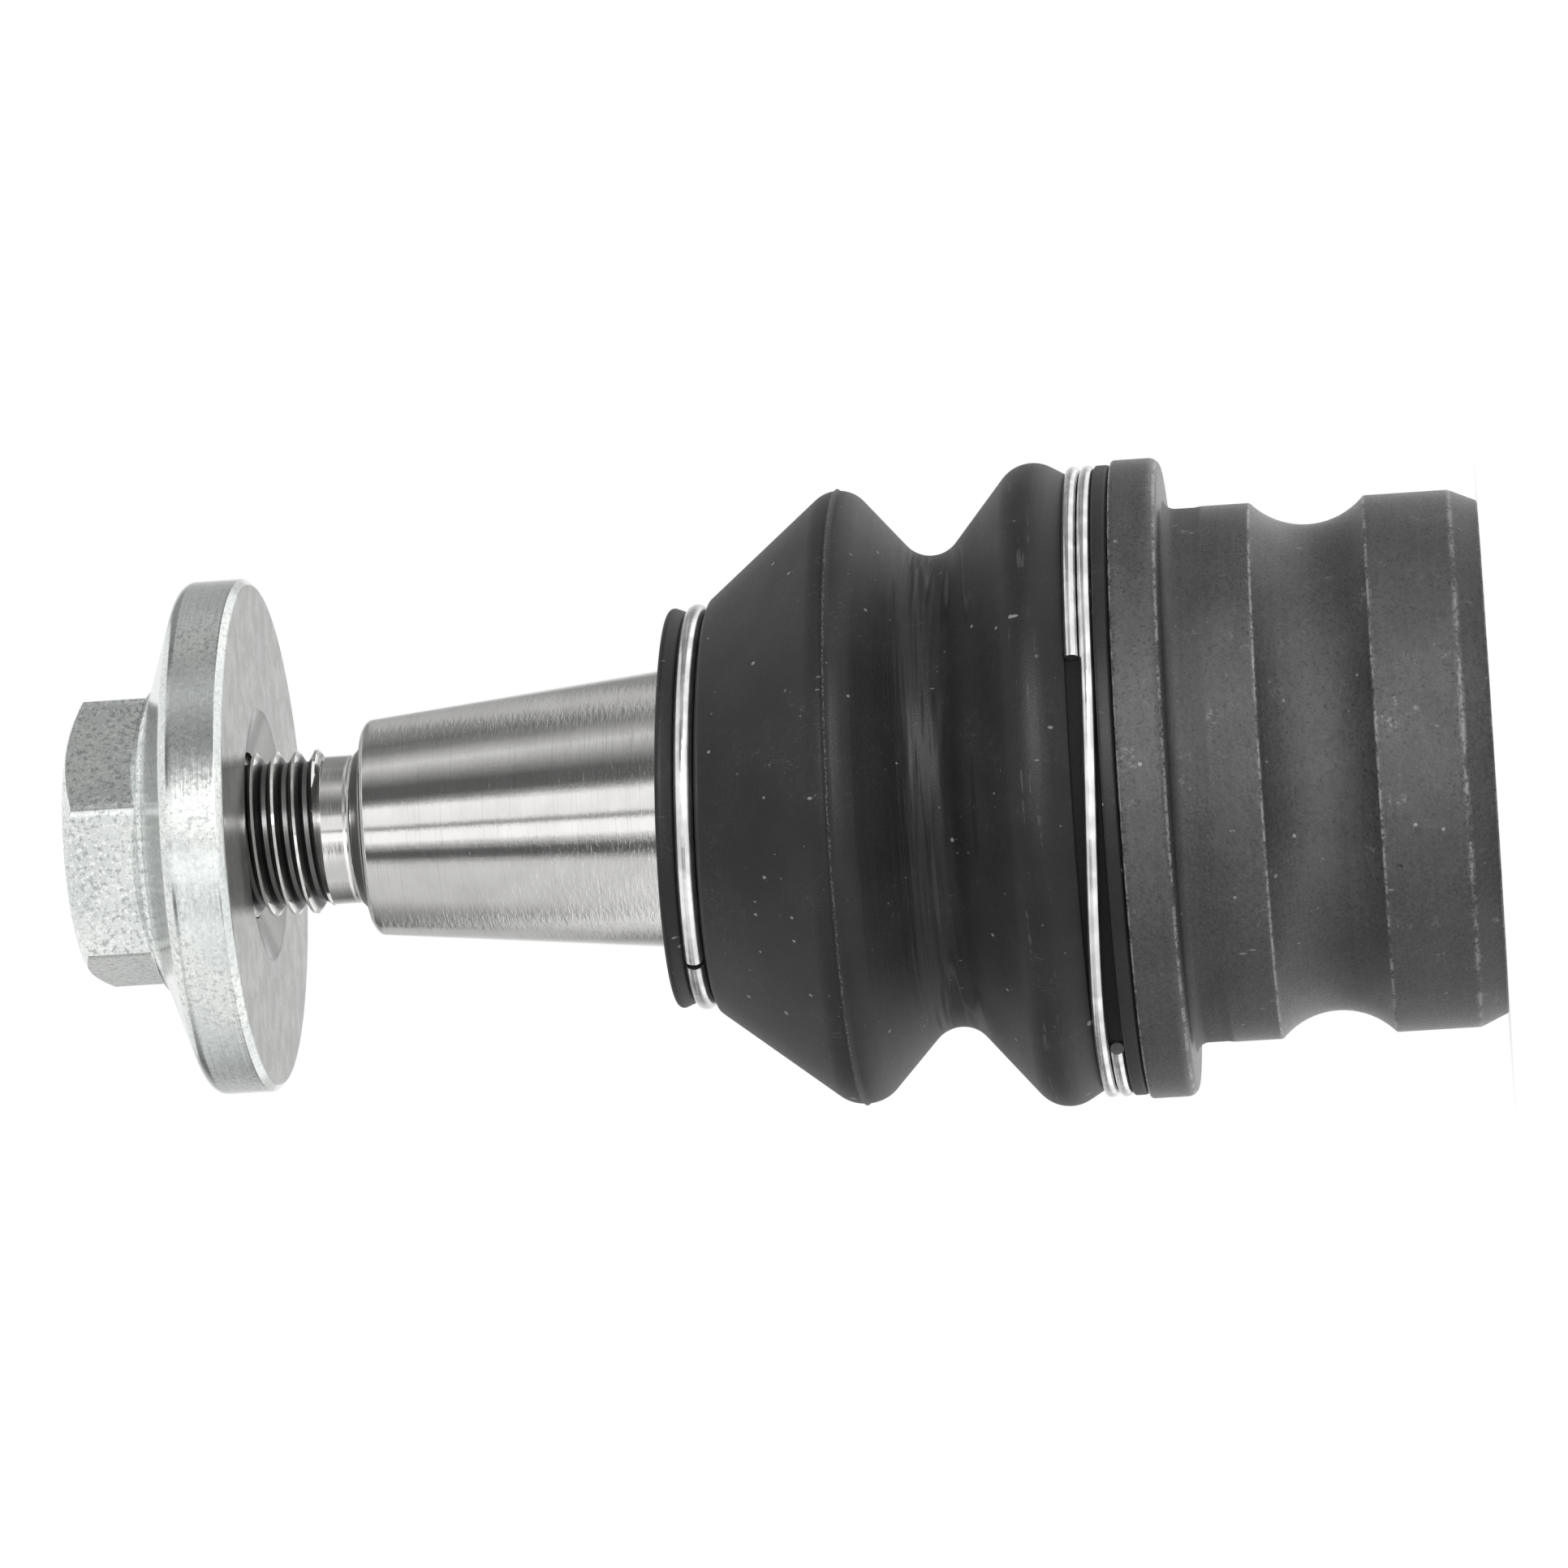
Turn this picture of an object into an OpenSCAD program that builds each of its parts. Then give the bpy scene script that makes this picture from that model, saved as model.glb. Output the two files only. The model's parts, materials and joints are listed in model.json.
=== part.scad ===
// Clamp-in ball joint for a suspension arm, in millimetres.
// The origin is the centre of the ball and +Z runs along the stud, towards its nut.

/* [Ball and stud] */
// Diameter of the ball
ball_d = 24; // [22:0.5:25]
// Depth of the flat under the ball
ball_flat = 0.9; // [0.5:0.1:1.5]
// Diameter of the neck above the ball
neck_d = 12.5; // [10:0.5:14]
// Height of the neck's upper end above the ball centre
neck_top = 22; // [18:0.5:24]
// Height of the shoulder's upper end above the ball centre
shoulder_top = 33.5; // [30:0.5:34]
// Height of the taper's large end above the ball centre
taper_base = 40.3; // [38:0.1:46]
// Length of the taper
taper_len = 23; // [18:0.2:28]
// Diameter at the small end of the taper
taper_small_d = 15.6; // [14:0.1:17]
// Growth of the taper's diameter for each millimetre of length
taper_rate = 0.2075; // [0.1:0.0005:0.25]
// Radius round the small end of the taper
taper_round = 0.6; // [0.3:0.1:1.2]
// Diameter of the relief between the taper and the thread
relief_d = 10.8; // [9:0.1:11]
// Length of the relief
relief_len = 3; // [2.5:0.1:6]
// Width of the fillet between the relief and the taper's end
relief_fillet = 1; // [0.5:0.1:1.5]
// Outside diameter of the thread
thread_d = 12; // [11:0.5:14]
// Length of the thread
thread_len = 15.7; // [12:0.1:24]
// Chamfer at the thread's free end
thread_chamfer = 0.9; // [0.4:0.1:1.5]
// Swing of the stud to each side
swing_deg = 25.5; // [15:0.5:26]

/* [Housing] */
// Diameter of the shank that the arm clamps
shank_d = 38.5; // [37:0.5:43]
// Length of the chamfer at the end face
end_chamfer_len = 2; // [0.5:0.1:2.5]
// Depth of the chamfer at the end face
end_chamfer_rise = 0.9; // [0.3:0.1:1.2]
// Depth of the bolt groove's middle below the ball centre
groove_drop = 5.6; // [5:0.1:9]
// Diameter of the clamp bolt that the groove fits
groove_bolt_d = 11; // [9:0.1:12]
// Depth of the bolt groove
groove_depth = 1.8; // [0.8:0.05:2]
// Diameter of the flange
flange_d = 45.9; // [44:0.1:50]
// Height of the flange's underside above the ball centre
flange_z = 4.7; // [3.5:0.1:5.5]
// Thickness of the flange
flange_t = 3.5; // [2.5:0.1:5]
// Radius of the fillet under the flange
flange_fillet = 0.9; // [0.4:0.1:1.5]
// Chamfer on the flange's upper edge and on the spigot
flange_edge = 0.3; // [0.1:0.05:0.8]
// Radius round the flange's lower edge
flange_round = 0.8; // [0.3:0.1:1.2]
// Height of the boot spigot above the flange
spigot_h = 4.1; // [3.8:0.1:5]
// Depth of the boot groove round the spigot
spigot_groove = 0.9; // [0.5:0.1:1.2]
// Height of the rim above the boot groove
spigot_rim = 1.2; // [0.8:0.1:1.6]
// Width of the bore's conical shoulder above the ball centre
bore_cone_w = 3.4; // [3:0.1:4]
// Height of the conical shoulder
bore_cone_h = 3.8; // [3:0.1:4.2]
// Radius left between the swung neck and the mouth
mouth_clear = 0.5; // [0.3:0.1:0.8]

/* [End cover, spring and seats] */
// Width of the bore's ledge that the end cover rests on
cover_ledge = 1.5; // [1:0.1:2]
// Thickness of the end cover
cover_t = 2; // [1.5:0.1:2.5]
// Depth of the end cover inside the end face
cover_recess = 1.2; // [0.8:0.1:1.6]
// Width of the rolled lip over the end cover
lip_w = 1; // [0.5:0.1:1.4]
// Diameter of the dish pressed into the end cover
dish_d = 16; // [10:0.5:20]
// Depth of the dish
dish_depth = 0.6; // [0.3:0.1:0.8]
// Thickness of the spring's plate
spring_t = 0.8; // [0.6:0.1:1]
// Height of the spring between the cover and the lower seat
spring_h = 1.6; // [1.3:0.1:2]
// Diameter of the hole through the spring
spring_hole_d = 14; // [12:0.5:18]
// Drop of the upper seat's top below the top of the ball
seat_drop = 4.8; // [4.2:0.1:5.5]
// Thickness of the seats' wall round the ball's middle
seat_wall = 2.41; // [2:0.01:2.8]
// Thickness of the lower seat's floor under the ball
seat_floor = 0.9; // [0.7:0.1:1.5]
// Diameter of the grease hole through the lower seat
seat_hole_d = 9.5; // [6:0.5:10.5]
// Number of grease grooves in each seat
seat_grooves = 6; // [3:1:8]
// Width of a grease groove
seat_groove_w = 1.6; // [1:0.1:2]
// Depth of a grease groove
seat_groove_depth = 0.6; // [0.3:0.1:0.8]

/* [Boot and rings] */
// Wall of the boot's folds
boot_wall = 1.8; // [1.2:0.1:2.2]
// Depth of the boot's large end inside the flange's edge
boot_inset = 0.3; // [0.1:0.05:0.8]
// Wall of the boot's large end round the spigot
boot_big_wall = 2.8; // [2.2:0.05:3.4]
// Drop of the large groove's upper wall below the boot's large end
boot_big_drop = 0.5; // [0.2:0.05:1]
// Thickness of the lip between the flange and the large ring
boot_big_lip = 1.1; // [0.8:0.05:1.6]
// Rise of the large fold above the boot's large end
big_fold_rise = 0.5; // [0.1:0.05:1.5]
// Height of the large fold above the flange
big_fold_z = 5.7; // [5.4:0.1:6.6]
// Radius round the large fold
big_fold_r = 2.7; // [2.4:0.1:3.4]
// Depth of the valley below the large fold
valley_depth = 6.15; // [5:0.05:7]
// Height of the valley above the flange
valley_z = 13.25; // [12.5:0.05:14.5]
// Radius round the valley
valley_r = 2.4; // [1.5:0.1:2.8]
// Drop of the small fold below the large fold
small_fold_drop = 1.05; // [0:0.05:2]
// Height of the small fold above the flange
small_fold_z = 19.75; // [19.5:0.05:22]
// Radius round the small fold
small_fold_r = 2.3; // [2:0.1:3]
// Wall of the boot's small end round the stud
boot_small_wall = 3.85; // [3:0.05:4.6]
// Depth of the small ring's groove
small_groove_depth = 0.95; // [0.6:0.05:1.2]
// Rise of the small groove's wall on the fold's side
boot_shoulder = 0.8; // [0.2:0.05:1.2]
// Flare of the lip at the small end
boot_lip_flare = 0.5; // [0:0.05:1.2]
// Length of the flared lip
boot_lip_len = 1.25; // [1:0.05:2]
// Width of the lip's end face
boot_lip_face = 1.6; // [1:0.1:2.4]
// Chamfer of the boot's mouth round the stud
boot_mouth = 0.6; // [0.3:0.05:0.8]
// Length of the boot's grip on the stud
boot_grip = 5; // [4.4:0.1:6.5]
// Wall of the boot at the inner end of its grip
boot_grip_wall = 3; // [2:0.1:3.5]
// Wire diameter of the large ring
big_wire_d = 1; // [0.8:0.05:1.2]
// Angle of the large ring's upper end about the stud
big_ring_start = -67; // [-80:1:-50]
// Angle between the large ring's two ends, where its wire runs single
big_ring_open = 81; // [60:1:120]
// Wire diameter of the small ring
small_wire_d = 1.45; // [1.2:0.05:1.7]
// Gap between the ends of the small ring
small_ring_gap = 0.5; // [0.2:0.1:1]
// Angle of the small ring's gap about the stud
small_ring_start = 220; // [180:5:270]

/* [Flange nut] */
// Height of the nut's bearing face above the taper's small end
nut_lift = 7.85; // [7:0.05:12]
// Diameter of the nut's flange
nut_flange_d = 37.3; // [34:0.1:42]
// Thickness of the nut's flange
nut_flange_t = 4.4; // [3:0.1:6]
// Height of the cone above the flange
nut_cone_h = 2.8; // [2:0.1:5]
// Width of the hexagon across its flats
nut_af = 19; // [18:1:22]
// Height of the hexagon above the cone
nut_hex_h = 6; // [4:0.05:8]
// Chamfer of the hexagon's top at its flats
nut_hex_edge = 0.3; // [0.1:0.05:0.6]
// Width of the cone's top outside the hexagon's corners
nut_ledge = 0.6; // [0.2:0.1:1]
// Angle of the hexagon about the stud
nut_turn = -16.7; // [-30:0.1:30]
// Radius round the upper edge of the nut's flange
nut_round = 0.8; // [0.3:0.1:1.2]
// Chamfer of the nut's bearing face
nut_edge = 0.3; // [0.1:0.05:0.6]
// Countersink at the outer end of the nut's bore
nut_countersink = 0.8; // [0.4:0.1:1.2]
// Diameter of the conical recess in the nut's bearing face
nut_recess_d = 18.2; // [14:0.2:24]
// Depth of the conical recess
nut_recess_depth = 1; // [0.4:0.1:1.6]

/* [Clearances] */
// Radial clearance between the ball and its seats
ball_clear = 0.05; // [0.02:0.01:0.1]
// Radial clearance of the seats and the cover in the housing
seat_clear = 0.04; // [0.02:0.01:0.1]
// Radial clearance of the spring in the bore, which it needs to flatten
spring_clear = 0.16; // [0.1:0.01:0.3]
// Clearance of the boot on the housing and on the stud
boot_clear = 0.05; // [0.02:0.01:0.1]
// Clearance of the wire rings in their grooves
ring_clear = 0.04; // [0.02:0.01:0.08]
// Radial clearance of the nut on the thread
thread_clear = 0.05; // [0.02:0.01:0.1]

/* [Hidden] */
$fn = 96;

// Reach of a cut beyond the face that it opens
cut = 1;

// Heights along the stud, counted from the ball centre
spring_top = -ball_d / 2 - seat_floor;
cover_top = spring_top - spring_h;
cover_bottom = cover_top - cover_t;
end_z = cover_bottom - cover_recess;
flange_top = flange_z + flange_t;
spigot_top = flange_top + spigot_h;
taper_top = taper_base + taper_len;
thread_base = taper_top + relief_len;
stud_top = thread_base + thread_len;
nut_base = taper_top + nut_lift;

// Radii that several pieces share
ball_r = ball_d / 2;
seat_r = ball_r + ball_clear;
seat_outer = seat_r + seat_wall;
bore_r = seat_outer + seat_clear;
cone_r = bore_r - bore_cone_w;
cone_top = ball_r - seat_drop;
bore_top = cone_top - bore_cone_h;
cover_r = bore_r + cover_ledge;
flange_r = flange_d / 2;
boot_big_r = flange_r - boot_inset;
spigot_r = boot_big_r - boot_big_wall - boot_clear;
seal_r = (taper_small_d + taper_rate * taper_len) / 2;
relief_r = relief_d / 2;

// Boot grooves: the wires seat on their floors
big_groove_w = 2 * big_wire_d + 3 * ring_clear;
big_groove_z = flange_top + boot_clear + boot_big_lip;
big_floor = boot_big_r - big_wire_d;
big_fold_top = boot_big_r + big_fold_rise;
small_groove_w = small_wire_d + 2 * ring_clear;
small_groove_z = taper_base - boot_lip_len - small_groove_w;
boot_small_r = seal_r + boot_clear + boot_small_wall;
small_floor = boot_small_r - small_groove_depth;

// Radius that the neck, swung to its limit, needs at height z
function mouth_r(z) = z * tan(swing_deg) + neck_d / 2 / cos(swing_deg) + mouth_clear;

// Points of an arc about c from angle a to angle b
function arc(c, r, a, b, n) = [for (i = [0:n]) let (t = a + (b - a) * i / n) c + r * [cos(t), sin(t)]];

// Slope of the straight wall that runs tangent from bead p to bead q. A bead is [z, r, round]:
// its round is positive on a crest, negative in a valley and 0 at a corner.
function slope(p, q) =
    let (d = [q[0] - p[0], q[1] - p[1]])
    atan2(d[1], d[0]) - asin((p[2] - q[2]) / norm(d));

// Outline through a row of beads, with arcs between the tangent walls, as [r, z] points.
// The offset t moves it inwards, to the inside of a wall.
function fold_line(beads, t) =
    let (b = [for (p = beads) [p[0], p[1], p[2] == 0 ? 0 : p[2] - t]])
    [for (i = [1:len(b) - 2])
        let (a0 = slope(b[i - 1], b[i]), a1 = slope(b[i], b[i + 1]))
        for (k = [0:10])
            let (a = a0 + (a1 - a0) * k / 10)
            [b[i][1] + b[i][2] * cos(a), b[i][0] - b[i][2] * sin(a)]];

function reversed(v) = [for (i = [len(v) - 1:-1:0]) v[i]];

// Cone through which the neck swings, from the ball's side of the mouth upwards
module mouth() {
    top = spigot_top + cut;
    cylinder(h = top, r1 = mouth_r(0), r2 = mouth_r(top));
}

// Forged body: the clamped shank with its bolt groove, the flange, and the spigot for the boot
module housing() {
    shank_r = shank_d / 2;
    groove_r = spigot_r - spigot_groove;
    fillet = arc([shank_r + flange_fillet, flange_z - flange_fillet], flange_fillet, 180, 90, 8);
    color("dimgray")
    difference() {
        rotate_extrude() polygon(concat(
            [[shank_r - end_chamfer_rise, end_z], [shank_r, end_z + end_chamfer_len]],
            fillet,
            arc([flange_r - flange_round, flange_z + flange_round], flange_round, -90, 0, 6),
            [[flange_r, flange_top - flange_edge], [flange_r - flange_edge, flange_top],
             [groove_r, flange_top], [groove_r, spigot_top - spigot_rim - spigot_groove],
             [spigot_r, spigot_top - spigot_rim], [spigot_r, spigot_top - flange_edge],
             [spigot_r - flange_edge, spigot_top],
             [cone_r, spigot_top], [cone_r, cone_top], [bore_r, bore_top],
             [bore_r, cover_top], [cover_r, cover_top], [cover_r, cover_bottom],
             [cover_r - lip_w, cover_bottom], [cover_r - lip_w, end_z]]));
        mouth();
        translate([0, 0, -groove_drop]) rotate_extrude()
            translate([shank_r - groove_depth + groove_bolt_d / 2, 0]) circle(d = groove_bolt_d);
    }
}

// Grease grooves up the inside of a seat, from height a to height b
module grease_grooves(a, b) {
    for (i = [0:seat_grooves - 1]) rotate([0, 0, 360 * i / seat_grooves])
        translate([0, -seat_groove_w / 2, a]) cube([seat_r + seat_groove_depth, seat_groove_w, b - a]);
}

// Plastic ring above the ball's middle, with the mouth that the neck swings in
module upper_seat() {
    color("ivory")
    difference() {
        rotate_extrude() polygon([
            [0, 0], [seat_outer, 0], [seat_outer, bore_top - seat_clear],
            [cone_r - seat_clear, cone_top - seat_clear], [0, cone_top - seat_clear]]);
        sphere(r = seat_r);
        mouth();
        grease_grooves(-cut, bore_top);
    }
}

// Plastic cup below the ball's middle, pushed up by the spring
module lower_seat() {
    bottom = spring_top + seat_clear;
    color("ivory")
    difference() {
        translate([0, 0, bottom]) cylinder(h = -bottom - seat_clear, r = seat_outer);
        sphere(r = seat_r);
        translate([0, 0, bottom - cut]) cylinder(h = seat_r, d = seat_hole_d);
        grease_grooves(-seat_r / 2, cut);
    }
}

// Conical disc spring between the end cover and the lower seat
module preload_spring() {
    outer = bore_r - spring_clear;
    inner = spring_hole_d / 2;
    bottom = cover_top + seat_clear;
    color("slategray")
    rotate_extrude() polygon([
        [inner, spring_top - spring_t], [inner, spring_top],
        [outer, bottom + spring_t], [outer, bottom]]);
}

// Steel disc rolled into the open end
module end_cover() {
    r = cover_r - seat_clear;
    low = cover_bottom + seat_clear;
    high = cover_top - seat_clear;
    color("gray")
    rotate_extrude() polygon([
        [0, low + dish_depth], [dish_d / 2 - dish_depth, low + dish_depth], [dish_d / 2, low],
        [r - dish_depth / 2, low], [r, low + dish_depth / 2], [r, high], [0, high]]);
}

// Forged stud in one piece: ball, neck, shoulder, seal land, taper, relief and thread
module ball_stud() {
    neck_r = neck_d / 2;
    small_r = taper_small_d / 2;
    thread_r = thread_d / 2;
    corner = arc([small_r - taper_round, taper_top - taper_round], taper_round, 0, 90, 6);
    color("silver")
    union() {
        difference() {
            sphere(r = ball_r);
            translate([0, 0, -ball_r - cut]) cylinder(h = cut + ball_flat, r = ball_r);
        }
        rotate_extrude() polygon(concat(
            [[0, 0], [neck_r, 0], [neck_r, neck_top], [seal_r, shoulder_top], [seal_r, taper_base]],
            corner,
            [[relief_r + relief_fillet, taper_top], [relief_r, taper_top + relief_fillet],
             [relief_r, thread_base], [thread_r, thread_base + thread_r - relief_r],
             [thread_r, stud_top - thread_chamfer], [thread_r - thread_chamfer, stud_top],
             [0, stud_top]]));
    }
}

// Rubber boot with two folds, gripped by a wire ring at each end
module dust_boot() {
    // Corner and crest beads of the folds, from the large end to the small end
    beads = [
        [big_groove_z + big_groove_w, boot_big_r - boot_big_drop, 0],
        [flange_top + big_fold_z, big_fold_top - big_fold_r, big_fold_r],
        [flange_top + valley_z, big_fold_top - valley_depth + valley_r, -valley_r],
        [flange_top + small_fold_z, big_fold_top - small_fold_drop - small_fold_r, small_fold_r],
        [small_groove_z, boot_small_r + boot_shoulder, 0]];
    lip_r = boot_small_r + boot_lip_flare;
    grip_r = seal_r + boot_clear;
    grip_z = taper_base - boot_grip;
    sleeve_r = spigot_r + boot_clear;
    bead_r = sleeve_r - spigot_groove;
    rim_z = spigot_top - spigot_rim - boot_clear;
    inner_beads = concat(
        [[spigot_top + boot_clear, sleeve_r, 0]],
        [for (i = [1:3]) beads[i]],
        [[grip_z, grip_r + boot_grip_wall, 0]]);
    outer = concat(
        [[boot_big_r, flange_top + boot_clear], [boot_big_r, big_groove_z],
         [big_floor, big_groove_z], [big_floor, big_groove_z + big_groove_w],
         [boot_big_r - boot_big_drop, big_groove_z + big_groove_w]],
        fold_line(beads, 0),
        [[boot_small_r + boot_shoulder, small_groove_z],
         [small_floor, small_groove_z], [small_floor, small_groove_z + small_groove_w],
         [boot_small_r, small_groove_z + small_groove_w], [lip_r, taper_base],
         [lip_r - boot_lip_face, taper_base], [grip_r + boot_mouth, taper_base - boot_mouth],
         [grip_r, taper_base - 2 * boot_mouth]]);
    inner = concat(
        [[bead_r, flange_top + boot_clear], [bead_r, rim_z - spigot_groove],
         [sleeve_r, rim_z], [sleeve_r, spigot_top + boot_clear]],
        fold_line(inner_beads, boot_wall),
        [[grip_r + boot_grip_wall, grip_z], [grip_r, grip_z]]);
    color("black")
    rotate_extrude() polygon(concat(outer, reversed(inner)));
}

// Spring wire in two lanes of the boot's groove. Both ends are free, and between them
// the wire runs single and crosses from one lane to the other.
module boot_ring_large() {
    sides = 8;
    step = 5;
    turn = 720 - big_ring_open;
    count = ceil(turn / step);
    wire_r = big_wire_d / 2;
    path_r = big_floor + wire_r + ring_clear;
    lane_low = big_groove_z + wire_r + ring_clear;
    lane_high = lane_low + big_wire_d + ring_clear;
    pair = 360 - big_ring_open;
    function cross(t) = let (u = min(1, max(0, (t - pair) / big_ring_open))) u * u * (3 - 2 * u);
    function height(t) = lane_high + (lane_low - lane_high) * cross(t);
    points = [for (i = [0:count], k = [0:sides - 1])
        let (t = turn * i / count, a = big_ring_start + t, s = 360 * (k + 0.5) / sides,
             r = path_r + wire_r * cos(s))
        [r * cos(a), r * sin(a), height(t) + wire_r * sin(s)]];
    walls = [for (i = [0:count - 1], k = [0:sides - 1])
        let (j = (k + 1) % sides, p = i * sides, q = p + sides)
        [p + k, p + j, q + j, q + k]];
    color("gainsboro")
    polyhedron(points, concat(walls, [[for (k = [sides - 1:-1:0]) k]],
                              [[for (k = [0:sides - 1]) count * sides + k]]), convexity = 4);
}

// Single turn of heavier wire, its ends almost meeting
module boot_ring_small() {
    path_r = small_floor + small_wire_d / 2 + ring_clear;
    gap_deg = small_ring_gap / path_r * 180 / PI;
    color("gainsboro")
    translate([0, 0, small_groove_z + small_groove_w / 2])
        rotate([0, 0, small_ring_start])
        rotate_extrude(angle = 360 - gap_deg) translate([path_r, 0]) circle(d = small_wire_d);
}

// Hexagon nut with a wide conical flange, in one piece
module flange_nut() {
    rim_r = nut_flange_d / 2;
    corner_r = nut_af / 2 / cos(30);
    thread_bore = thread_d / 2 + thread_clear;
    sink_r = thread_bore + nut_countersink;
    hex_z = nut_flange_t + nut_cone_h;
    nut_h = hex_z + nut_hex_h;
    top_r = nut_af / 2 - nut_hex_edge;
    color("lightsteelblue")
    translate([0, 0, nut_base])
    difference() {
        union() {
            rotate_extrude() polygon(concat(
                [[0, 0], [rim_r - nut_edge, 0], [rim_r, nut_edge]],
                arc([rim_r - nut_round, nut_flange_t - nut_round], nut_round, 0, 80, 6),
                [[corner_r + nut_ledge, hex_z], [0, hex_z]]));
            intersection() {
                rotate([0, 0, nut_turn]) cylinder(h = nut_h, r = corner_r, $fn = 6);
                cylinder(h = nut_h, r1 = top_r + nut_h / tan(30), r2 = top_r);
            }
        }
        translate([0, 0, -cut]) cylinder(h = nut_h + 2 * cut, r = thread_bore);
        translate([0, 0, -cut]) cylinder(h = cut, d = nut_recess_d);
        cylinder(h = nut_recess_depth, r1 = nut_recess_d / 2, r2 = thread_bore);
        translate([0, 0, nut_h - nut_countersink])
            cylinder(h = nut_countersink + cut, r1 = thread_bore, r2 = sink_r + cut);
    }
}

housing();
upper_seat();
lower_seat();
preload_spring();
end_cover();
ball_stud();
dust_boot();
boot_ring_large();
boot_ring_small();
flange_nut();
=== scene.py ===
import json
from math import acos, asin, atan2, cos, degrees, hypot, pi, radians, sin, sqrt, tan

import bmesh
import bpy
from mathutils import Matrix, Vector


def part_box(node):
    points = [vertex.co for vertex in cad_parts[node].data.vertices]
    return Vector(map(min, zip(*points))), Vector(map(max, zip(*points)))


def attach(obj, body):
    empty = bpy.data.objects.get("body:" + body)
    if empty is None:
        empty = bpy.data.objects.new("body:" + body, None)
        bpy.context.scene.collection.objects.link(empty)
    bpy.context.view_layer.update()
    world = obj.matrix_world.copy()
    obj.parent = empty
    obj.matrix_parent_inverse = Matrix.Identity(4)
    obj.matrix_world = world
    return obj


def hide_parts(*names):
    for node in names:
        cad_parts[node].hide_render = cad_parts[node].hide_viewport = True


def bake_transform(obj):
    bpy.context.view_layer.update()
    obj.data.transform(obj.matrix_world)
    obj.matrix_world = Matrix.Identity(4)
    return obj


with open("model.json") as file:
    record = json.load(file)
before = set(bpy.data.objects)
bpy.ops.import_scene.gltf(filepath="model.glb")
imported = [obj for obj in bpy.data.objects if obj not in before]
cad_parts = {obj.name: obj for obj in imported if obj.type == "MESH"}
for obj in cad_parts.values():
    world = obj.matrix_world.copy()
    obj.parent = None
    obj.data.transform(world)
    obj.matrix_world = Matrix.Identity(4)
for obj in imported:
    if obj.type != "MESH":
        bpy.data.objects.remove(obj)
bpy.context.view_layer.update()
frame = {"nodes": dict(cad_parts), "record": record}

# The camera lies on its side: the joint stands on its end face, and the photograph shows the
# stud pointing left. It is level with the clamped shank and turned a little towards the nut.
camera_gap = 0.5275
camera_height = -0.0145
camera_turn, camera_lift, camera_roll = radians(5.17), radians(0.137), radians(-3.643)
focal_px, picture_px = 9043.6, 1932
camera = bpy.data.objects.new("camera", bpy.data.cameras.new("camera"))
bpy.context.collection.objects.link(camera)
camera.data.lens = camera.data.sensor_width * focal_px / picture_px
camera.data.clip_start = 0.01
lying = Matrix(((0, 1, 0), (0, 0, -1), (-1, 0, 0))).to_4x4()
camera.matrix_world = (
    Matrix.Translation((0, -camera_gap, camera_height)) @ lying
    @ Matrix.Rotation(camera_turn, 4, "Y")
    @ Matrix.Rotation(camera_lift, 4, "X")
    @ Matrix.Rotation(camera_roll, 4, "Z")
)
bpy.context.scene.camera = camera
bpy.context.scene.view_settings.view_transform = "Standard"


# Forged steel body, turned on the shank and flange and given a thin black coat. Its spigot holds
# the boot, and its rolled lip holds the end cover. It is one turned outline, spun about the stud.
mm = 0.001


class Socket:
    """The output of a shader node, which can stand in sums, and adds Math nodes for them."""

    def __init__(self, graph, out):
        self.graph = graph
        self.out = out

    def maths(self, operation, *others):
        values = dict(enumerate((self,) + others))
        return self.graph.node("Math", {"operation": operation}, values)

    def __add__(self, other):
        return self.maths("ADD", other)

    def __sub__(self, other):
        return self.maths("SUBTRACT", other)

    def __rsub__(self, other):
        return self.graph.node("Math", {"operation": "SUBTRACT"}, {0: other, 1: self})

    def __mul__(self, other):
        return self.maths("MULTIPLY", other)

    __radd__ = __add__
    __rmul__ = __mul__

    def between(self, low, high):
        """0 at low, 1 at high, and smooth from one to the other."""
        settings = {"interpolation_type": "SMOOTHSTEP"}
        values = {"Value": self, "From Min": low, "From Max": high}
        return self.graph.node("MapRange", settings, values)


class Graph:
    """The nodes of a material or a world."""

    def __init__(self, owner):
        owner.use_nodes = True
        self.tree = owner.node_tree

    def node(self, kind, settings=None, sockets=None, out=0):
        """A node of this kind, its settings made first, then the values or links of its sockets."""
        made = self.tree.nodes.new("ShaderNode" + kind)
        for name, value in (settings or {}).items():
            setattr(made, name, value)
        self.fill(made, sockets or {})
        return Socket(self, made.outputs[out])

    def fill(self, made, sockets):
        """Puts values or links into the sockets of a node."""
        for name, value in sockets.items():
            if isinstance(value, Socket):
                self.tree.links.new(value.out, made.inputs[name])
            else:
                made.inputs[name].default_value = value


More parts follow.
